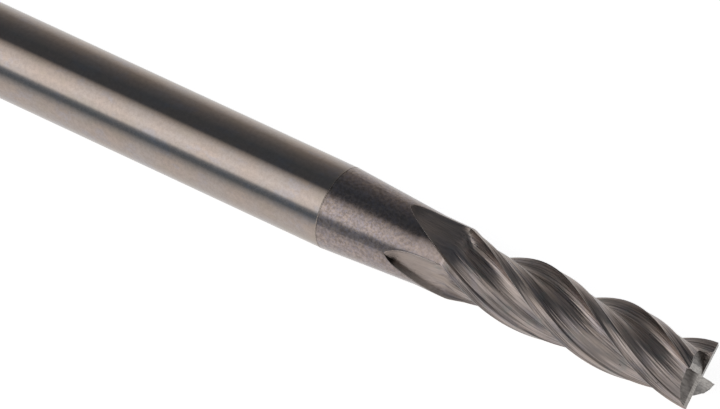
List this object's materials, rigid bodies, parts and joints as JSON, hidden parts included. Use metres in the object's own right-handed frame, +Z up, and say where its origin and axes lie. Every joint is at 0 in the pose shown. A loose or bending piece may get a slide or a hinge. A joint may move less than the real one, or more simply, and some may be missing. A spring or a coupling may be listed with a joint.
{
  "type": "end mill",
  "caption": "Square-end milling cutter with right-hand helical flutes, a short conical neck and a plain cylindrical shank.",
  "frame": {"origin": "centre of the shank's flat back face", "axes": "+X along the tool's axis towards the cutting end, +Z up with the tool lying on its shank, +Y across it"},
  "size_m": [0.068, 0.006, 0.006],
  "materials": {
    "shank_steel": "fine ground, under a warm grey hard coating",
    "braze_filler": "silver solder, flush",
    "coated_carbide": "ground carbide under a brown-grey hard coating"
  },
  "bodies": {
    "root": {"shank": "shank_steel", "braze_joint": "braze_filler", "cutting_head": "coated_carbide"}
  },
  "joints": []
}
